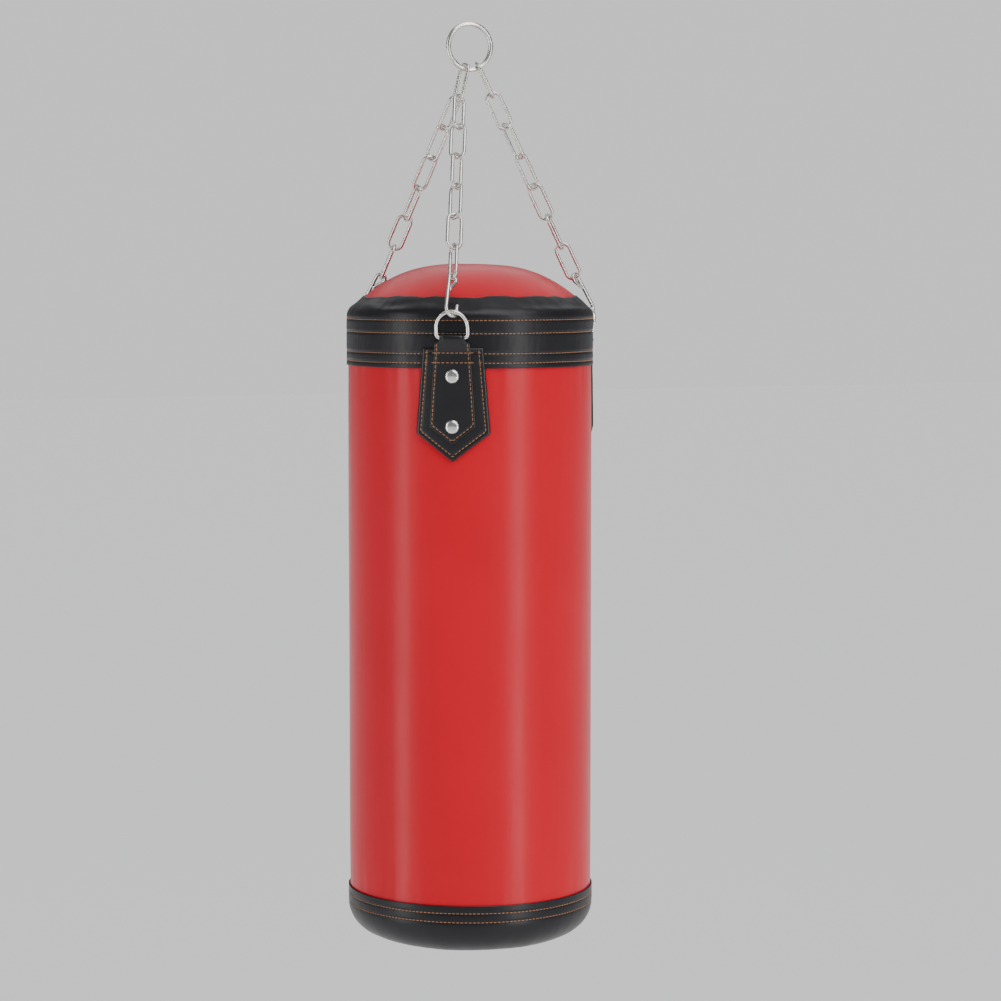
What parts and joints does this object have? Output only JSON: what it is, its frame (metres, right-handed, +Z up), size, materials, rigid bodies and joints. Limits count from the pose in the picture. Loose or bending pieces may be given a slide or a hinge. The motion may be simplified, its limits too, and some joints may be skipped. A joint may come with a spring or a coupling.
{
  "type": "heavy punching bag",
  "caption": "Cylindrical heavy punching bag with a domed top, riveted hanging tabs and a chain sling gathered on a round ring.",
  "frame": {"origin": "the point inside the top ring where a ceiling hook bears, on the bag's vertical axis", "axes": "+Z up along the bag's axis, with the ring in the XZ plane; the right-hand tab is at +X and the front tab towards -Y"},
  "size_m": [0.3185, 0.3, 1.1136],
  "materials": {
    "red_vinyl": "satin, fine grain",
    "black_vinyl": "satin, fine grain",
    "zinc_steel": "bright zinc plate",
    "nickel_steel": "polished nickel plate",
    "canvas": "woven, matte",
    "foam": "matte",
    "cloth_filling": "matte"
  },
  "bodies": {
    "hanger": {"hanger_ring": "zinc_steel"},
    "first_links": {"link_shared": "zinc_steel", "link_right_1": "zinc_steel"},
    "bag": {"bottom_cap": "black_vinyl", "d_ring_front": "nickel_steel", "d_ring_left": "nickel_steel", "d_ring_right": "nickel_steel", "filling": "cloth_filling", "foam_sleeve": "foam", "hook_front": "zinc_steel", "hook_left": "zinc_steel", "hook_right": "zinc_steel", "lining": "canvas", "link_front_2": "zinc_steel", "link_front_3": "zinc_steel", "link_front_4": "zinc_steel", "link_front_5": "zinc_steel", "link_front_6": "zinc_steel", "link_front_7": "zinc_steel", "link_left_2": "zinc_steel", "link_left_3": "zinc_steel", "link_left_4": "zinc_steel", "link_left_5": "zinc_steel", "link_left_6": "zinc_steel", "link_left_7": "zinc_steel", "link_right_2": "zinc_steel", "link_right_3": "zinc_steel", "link_right_4": "zinc_steel", "link_right_5": "zinc_steel", "link_right_6": "zinc_steel", "link_right_7": "zinc_steel", "outer_shell": "red_vinyl", "patch_front": "black_vinyl", "patch_left": "black_vinyl", "patch_right": "black_vinyl", "rivet_front_lower": "nickel_steel", "rivet_front_upper": "nickel_steel", "rivet_left_lower": "nickel_steel", "rivet_left_upper": "nickel_steel", "rivet_right_lower": "nickel_steel", "rivet_right_upper": "nickel_steel", "strap_front": "black_vinyl", "strap_left": "black_vinyl", "strap_right": "black_vinyl", "top_band": "black_vinyl", "top_cover": "red_vinyl", "washer_front_lower": "zinc_steel", "washer_front_upper": "zinc_steel", "washer_left_lower": "zinc_steel", "washer_left_upper": "zinc_steel", "washer_right_lower": "zinc_steel", "washer_right_upper": "zinc_steel"}
  },
  "joints": [
    {"name": "swing_side", "type": "hinge", "parent": "hanger", "child": "first_links", "pos_m": [0, 0, -0.0245], "axis": [0, 1, 0], "range_deg": [-30, 30]},
    {"name": "swing_front", "type": "hinge", "parent": "first_links", "child": "bag", "pos_m": [-0.01468, 0, -0.08338], "axis": [0.997, 0, 0.0778], "range_deg": [-30, 30]}
  ]
}
